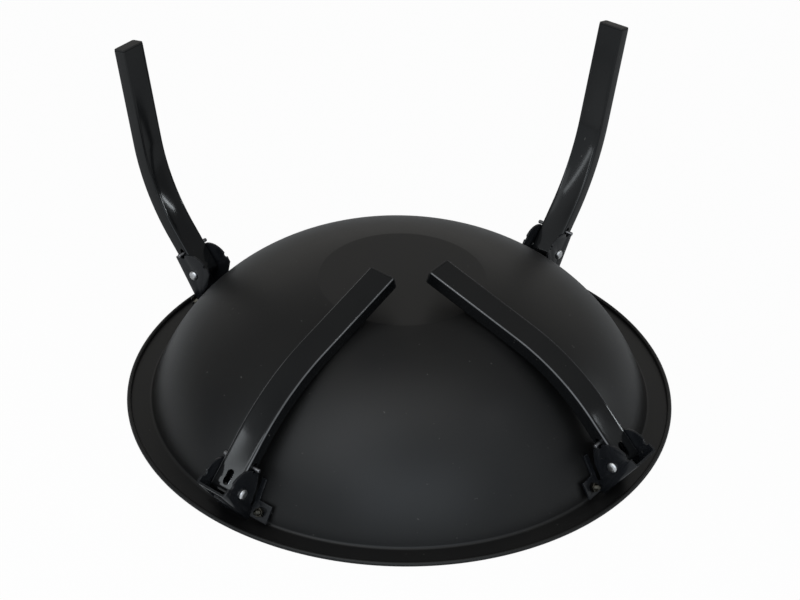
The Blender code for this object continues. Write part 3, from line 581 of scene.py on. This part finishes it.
fitted("foot_bolts", bolts, "bowl_body", "dark_zinc", *["foot_bolt_%s_%s" % key for key in bolt_frames])


def join_rings(bm, pairs):
    """Faces between each pair of rings of vertices."""
    for lower, upper in pairs:
        for i in range(len(lower)):
            j = (i + 1) % len(lower)
            bm.faces.new((lower[i], lower[j], upper[j], upper[i]))


# A nut is six rings round its bore, of which the three outermost are hexagons
RING_STEPS, NUT_CORNER = 24, 0.00462
bm = bmesh.new()
rings = []
for level, radius, hexagon in (
        (0.0, HOLE_RADIUS, False), (0.0, NUT_CORNER, True), (0.0036, NUT_CORNER, True),
        (NUT_HEIGHT, 0.0042, True), (NUT_HEIGHT, 0.0031, False), (0.0037, HOLE_RADIUS, False)):
    ring = []
    for step in range(RING_STEPS):
        a = math.tau * step / RING_STEPS
        from_flat = (step % 4 - 2) * math.tau / RING_STEPS
        out = radius * (math.cos(math.pi / 6) / math.cos(from_flat) if hexagon else 1.0)
        ring.append(bm.verts.new((out * math.cos(a), out * math.sin(a), NUT_FACE + level)))
    rings.append(ring)
join_rings(bm, zip(rings, rings[1:] + rings[:1]))
nuts = set_on("foot_nuts", tidied(finished("foot_nut", bm), 25.0), list(bolt_frames.values()), dull_zinc)
fitted("foot_nuts", nuts, "bowl_body", "dark_zinc", *["foot_nut_%s_%s" % key for key in bolt_frames])

# The four legs: rectangular steel tube bent in one sweep, with a round end under the hinge, a window over the
# spring and a slot on each side for the lock pin. Semi-gloss black powder coat, with soft rounded corners and
# a painted highlight along the two corners of the outer face.
bent_tube, given = open_tree(
    "Bent Box Tube", ("Path", "NodeSocketGeometry"), ("Section", "NodeSocketObject"),
    ("Finish", "NodeSocketMaterial"))
tree = bent_tube
section = put(tree, "GeometryNodeObjectInfo", {"Object": given["Section"]}).outputs["Geometry"]
stops = put(tree, "GeometryNodeAttributeDomainSize", {"Geometry": given["Path"]}).outputs["Point Count"]
sides = put(tree, "GeometryNodeAttributeDomainSize", {"Geometry": section}).outputs["Point Count"]
grid, column, row = grid_cell(
    tree, number(tree, "MULTIPLY_ADD", stops, 2.0, 1.0), number(tree, "ADD", sides, 1.0))
column = number(tree, "MODULO", column, number(tree, "MULTIPLY", stops, 2.0))
row = number(tree, "MODULO", row, sides)
in_bore = number(tree, "GREATER_THAN", column, number(tree, "SUBTRACT", stops, 0.5))
last = number(tree, "SUBTRACT", number(tree, "MULTIPLY", stops, 2.0), 1.0)
stop = put(tree, "ShaderNodeMix", {"Factor": in_bore, "A": column, "B": number(tree, "SUBTRACT", last, column)})
position = put(tree, "GeometryNodeInputPosition").outputs[0]
on_path = point_of(tree, given["Path"], position, stop.outputs["Result"])
bending = put(tree, "ShaderNodeSeparateXYZ", {
    "Vector": point_of(tree, given["Path"], named(tree, "bending"), stop.outputs["Result"])}).outputs
turn, dish = bending["X"], bending["Y"]
wall = put(tree, "ShaderNodeMix", {"Factor": in_bore}, data_type="VECTOR")
tree.links.new(point_of(tree, section, position, row), wall.inputs[4])
tree.links.new(point_of(tree, section, named(tree, "bore"), row), wall.inputs[5])
across = put(tree, "ShaderNodeSeparateXYZ", {"Vector": wall.outputs[1]}).outputs
outside_only = number(tree, "SUBTRACT", 1.0, in_bore)
worked = put(tree, "ShaderNodeSeparateXYZ", {
    "Vector": point_of(tree, section, named(tree, "worked"), row)}).outputs
sunk = number(tree, "MULTIPLY", number(tree, "MULTIPLY", worked["X"], dish), outside_only)
deep = number(tree, "ADD", across["X"], sunk)
offset = put(tree, "ShaderNodeCombineXYZ", {
    "X": number(tree, "MULTIPLY", deep, number(tree, "COSINE", turn)), "Y": across["Y"],
    "Z": number(tree, "MULTIPLY", deep, number(tree, "SINE", turn))})
at = put(tree, "ShaderNodeVectorMath", {0: on_path, 1: offset.outputs[0]}, operation="ADD")
laid = put(tree, "GeometryNodeSetPosition", {"Geometry": grid, "Position": at.outputs[0]})
# The marked corners of the section carry the painted highlight onto the outside of the tube
marked = put(tree, "GeometryNodeStoreNamedAttribute", {
    "Geometry": laid.outputs[0], "Name": "rub", "Value": number(tree, "MULTIPLY", worked["Y"], outside_only)},
    data_type="FLOAT", domain="POINT")
merged = put(tree, "GeometryNodeMergeByDistance", {"Geometry": marked.outputs[0], "Distance": MERGE})
close_tree(tree, merged.outputs[0], given["Finish"])


def rounded_box(depth, width, corner, per_corner, across=1):
    """Corners of a rectangle, rounded by arcs, with this many spans across its two wide faces."""
    points = []
    for quarter, (sx, sy) in enumerate(((1, 1), (-1, 1), (-1, -1), (1, -1))):
        for step in range(per_corner):
            a = math.pi / 2 * (quarter + step / (per_corner - 1))
            points.append((sx * (depth / 2 - corner) + corner * math.cos(a),
                           sy * (width / 2 - corner) + corner * math.sin(a)))
        if sx != sy:
            for step in range(1, across):
                points.append((sx * depth / 2, sy * (width / 2 - corner) * (1 - 2 * step / across)))
    return points


LEG_DEPTH, LEG_WIDTH, LEG_WALL, LEG_OFFSET = 0.0143, 0.0284, 0.0015, 0.0016
LEG_CORNER, BORE_CORNER, CORNER_STEPS, SPANS = 0.0016, 0.0004, 7, 12
LEG_STRAIGHT, BEND_RADIUS, BEND = 0.0475, 0.206, math.radians(27.7)
TIP_STRAIGHT, LEG_END = 0.104037, 0.00825
LOW_STEPS, BEND_STEPS, TIP_STEPS = 8, 36, 14
leg_paint = black_paint(
    "leg_powder_coat", (0.0032, 0.0036, 0.0042), (0.0054, 0.0057, 0.0060), (0.08, 0.13), 0.000004, clouds=22.0,
    edge_highlight_colour=PAINTED_EDGE_HIGHLIGHT)
# The path down the tube's middle is (x, z, angle) points, from below the hinge round the bend to the foot
path = [(0.0, -LEG_END + (LEG_STRAIGHT + LEG_END) * step / LOW_STEPS, 0.0) for step in range(LOW_STEPS + 1)]
for step in range(1, BEND_STEPS + 1):
    a = BEND * step / BEND_STEPS
    path.append((-BEND_RADIUS * (1 - math.cos(a)), LEG_STRAIGHT + BEND_RADIUS * math.sin(a), a))
bend_x, bend_z = path[-1][:2]
for step in range(1, TIP_STEPS + 1):
    length = TIP_STRAIGHT * step / TIP_STEPS
    path.append((bend_x - length * math.sin(BEND), bend_z + length * math.cos(BEND), BEND))
path_mesh = chain("leg_path", [(x, 0.0, z) for x, z, _ in path])


def eased_step(value, low, high):
    """Rises smoothly from 0 to 1 between low and high."""
    t = min(max((value - low) / (high - low), 0.0), 1.0)
    return t * t * (3 - 2 * t)


# The bending machine draws the tube's wide faces a little hollow round the bend
DISH, OUTER_DISH, DISH_RISES, DISH_FADES = 0.0007, -0.3, (0.008, 0.050), (0.130, 0.220)
bendings = path_mesh.attributes.new("bending", "FLOAT_VECTOR", "POINT")
for item, (x, z, a) in zip(bendings.data, path):
    item.vector = (a, DISH * eased_step(z, *DISH_RISES) * (1 - eased_step(z, *DISH_FADES)), 0.0)
outside = rounded_box(LEG_DEPTH, LEG_WIDTH, LEG_CORNER, CORNER_STEPS, SPANS)
section_mesh = chain("leg_section", [(x + LEG_OFFSET, y, 0.0) for x, y in outside], closed=True)
bores = section_mesh.attributes.new("bore", "FLOAT_VECTOR", "POINT")
bore = rounded_box(LEG_DEPTH - 2 * LEG_WALL, LEG_WIDTH - 2 * LEG_WALL, BORE_CORNER, CORNER_STEPS, SPANS)
for item, (x, y) in zip(bores.data, bore):
    item.vector = (x + LEG_OFFSET, y, 0.0)
# Each section point's worked value: how deep its face is dished, and its share of the painted edge highlight
workings = section_mesh.attributes.new("worked", "FLOAT_VECTOR", "POINT")
flat_half = LEG_WIDTH / 2 - LEG_CORNER
for item, (x, y) in zip(workings.data, outside):
    hollow = 1 - min(abs(y) / flat_half, 1.0) ** 2
    into_corner = (x - LEG_DEPTH / 2 + LEG_CORNER) * (abs(y) - flat_half) / (LEG_CORNER * LEG_CORNER / 2)
    # The two corners of the outer face are marked for the painted highlight
    highlight_here = min(max(into_corner, 0.0), 1.0) ** 3 if x > 0 and abs(y) > flat_half else 0.0
    item.vector = (hollow if x < 0 else OUTER_DISH * hollow, highlight_here, 0.0)
section_holder = bpy.data.objects.new("leg_section", section_mesh)
scene.collection.objects.link(section_holder)
tube = tidied(grown("leg_tube", path_mesh, bent_tube, Section=section_holder, Finish=leg_paint))
bpy.data.objects.remove(section_holder)


def plate(name, outline, low, high):
    """A solid from an outline of (x, z) points, thick from low to high along Y."""
    bm = bmesh.new()
    near, far = ([bm.verts.new((x, y, z)) for x, z in outline] for y in (low, high))
    bm.faces.new(near)
    bm.faces.new(far)
    join_rings(bm, [(near, far)])
    bmesh.ops.recalc_face_normals(bm, faces=bm.faces)
    return finished(name, bm)


def slot_shape(half, low, high):
    """Outline of a slot with round ends."""
    top = arc((0, high - half), half, -math.pi / 2, math.pi / 2, 14)
    return top + arc((0, low + half), half, math.pi / 2, math.pi * 1.5, 14)


PIN_REST, SLOT_HALF, SLOT_BELOW, SLOT_ABOVE = 0.0253, 0.0023, 0.0048, 0.0053
WINDOW_HALF, WINDOW_LENGTH, PAST = 0.00375, 0.0155, 0.03
below = [(-PAST, 0.0)] + arc((LEG_OFFSET, 0.0), LEG_END, math.pi * 1.5, math.pi / 2, 32)
below += [(PAST, 0.0), (PAST, -PAST), (-PAST, -PAST)]
round_end = plate("round_end", below, -PAST, PAST)
window = plate("spring_window", slot_shape(WINDOW_HALF, 0.0, WINDOW_LENGTH), 0.0, LEG_DEPTH)
window.transform(Matrix.Rotation(-math.pi / 2, 4, "Z"))
pin_slot = plate("pin_slots", slot_shape(SLOT_HALF, PIN_REST - SLOT_BELOW, PIN_REST + SLOT_ABOVE), -PAST, PAST)
pivot = punch_through("pivot_hole", HOLE_RADIUS, -PAST, PAST)
pivot.transform(TO_SIDE)
tube = tidied(cut_out(tube, [round_end, window, pin_slot, pivot], leg_paint), 40.0)
for leg in LEGS:
    mesh = tube.copy()
    mesh.transform(leg_frames[leg])
    fitted("leg_" + leg, mesh, "leg_" + leg, "leg_paint", "leg_tube_" + leg)

# A moulded black cap plugs the foot of each leg: a flange as large as the tube, with soft edges, on a
# stem pressed into the bore. It has a fine moulded texture and dust on its face.
foot_plastic = black_paint(
    "moulded_foot_plastic", (0.008, 0.008, 0.0085), (0.013, 0.0125, 0.012), (0.42, 0.55), 0.00008, clouds=60.0)
# Each level is its height past the tube's end, how much smaller than the tube it is, and its corner radius
PLUG_BOTTOM, FLANGE_SEAT, STEM_LESS, STEM_CORNER, CAP_ROUND = -0.009, 0.0003, 0.0036, 0.0008, 0.0008
levels = [(PLUG_BOTTOM, STEM_LESS, STEM_CORNER), (FLANGE_SEAT, STEM_LESS, STEM_CORNER),
          (FLANGE_SEAT, 0.0002, 0.0019)]
for step in range(6):
    a = math.pi / 2 * step / 5
    levels.append((0.0012 + CAP_ROUND * math.sin(a), 2 * CAP_ROUND * (1 - math.cos(a)), 0.0020))
bm = bmesh.new()
rings = []
for level, less, corner in levels:
    ring = rounded_box(LEG_DEPTH - less, LEG_WIDTH - less, corner, CORNER_STEPS)
    rings.append([bm.verts.new((x + LEG_OFFSET, y, level)) for x, y in ring])
bm.faces.new(rings[0])
bm.faces.new(rings[-1])
join_rings(bm, zip(rings, rings[1:]))
cap = finished("foot_cap", bm)
cap.materials.append(foot_plastic)
cap = tidied(cap, 50.0)
tip_x, tip_z = path[-1][:2]
for leg in LEGS:
    mesh = cap.copy()
    mesh.transform(leg_frames[leg] @ Matrix.Translation((tip_x, 0, tip_z)) @ Matrix.Rotation(-BEND, 4, "Y"))
    fitted("foot_" + leg, mesh, "leg_" + leg, "foot_plastic", "foot_cap_" + leg)

# Each lock is a bright cross pin in the leg's slots, pulled down by a coil spring hooked on the hinge rivet.
# The springs are the CAD's coils in drawn wire.
SPRING_HOOK, PIN_OVERHANG = 0.0045, 0.0045
spring_wire = plated_steel("drawn_spring_wire", (0.38, 0.39, 0.41), (0.58, 0.59, 0.61), (0.20, 0.34))
for leg in LEGS:
    coil = frame["nodes"]["lock_spring_" + leg].data.copy()
    coil.materials.clear()
    coil.materials.append(spring_wire)
    spring = bpy.data.objects.new("spring_" + leg, tidied(coil, 60.0))
    scene.collection.objects.link(spring)
    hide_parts("lock_spring_" + leg)
    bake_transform(spring)
pin_end = EAR_OUTSIDE + PIN_OVERHANG
half = [(0.0, pin_end), (0.0012, pin_end), (0.0016, pin_end - 0.0001), (0.0019, pin_end - 0.0004),
        (0.0020, pin_end - 0.0008)]
pin_steel = plated_steel("dull_pin_steel", (0.16, 0.16, 0.165), (0.32, 0.32, 0.33), (0.28, 0.40))
pin = turned_piece("lock_pin", half + [(r, -h) for r, h in half[::-1]], 32, pin_steel)
pin.transform(TO_SIDE)
for leg in LEGS:
    mesh = pin.copy()
    mesh.transform(leg_frames[leg] @ Matrix.Translation((0, 0, PIN_REST)))
    fitted("lock_" + leg, mesh, "lock_" + leg, "bright_steel", "lock_pin_" + leg)
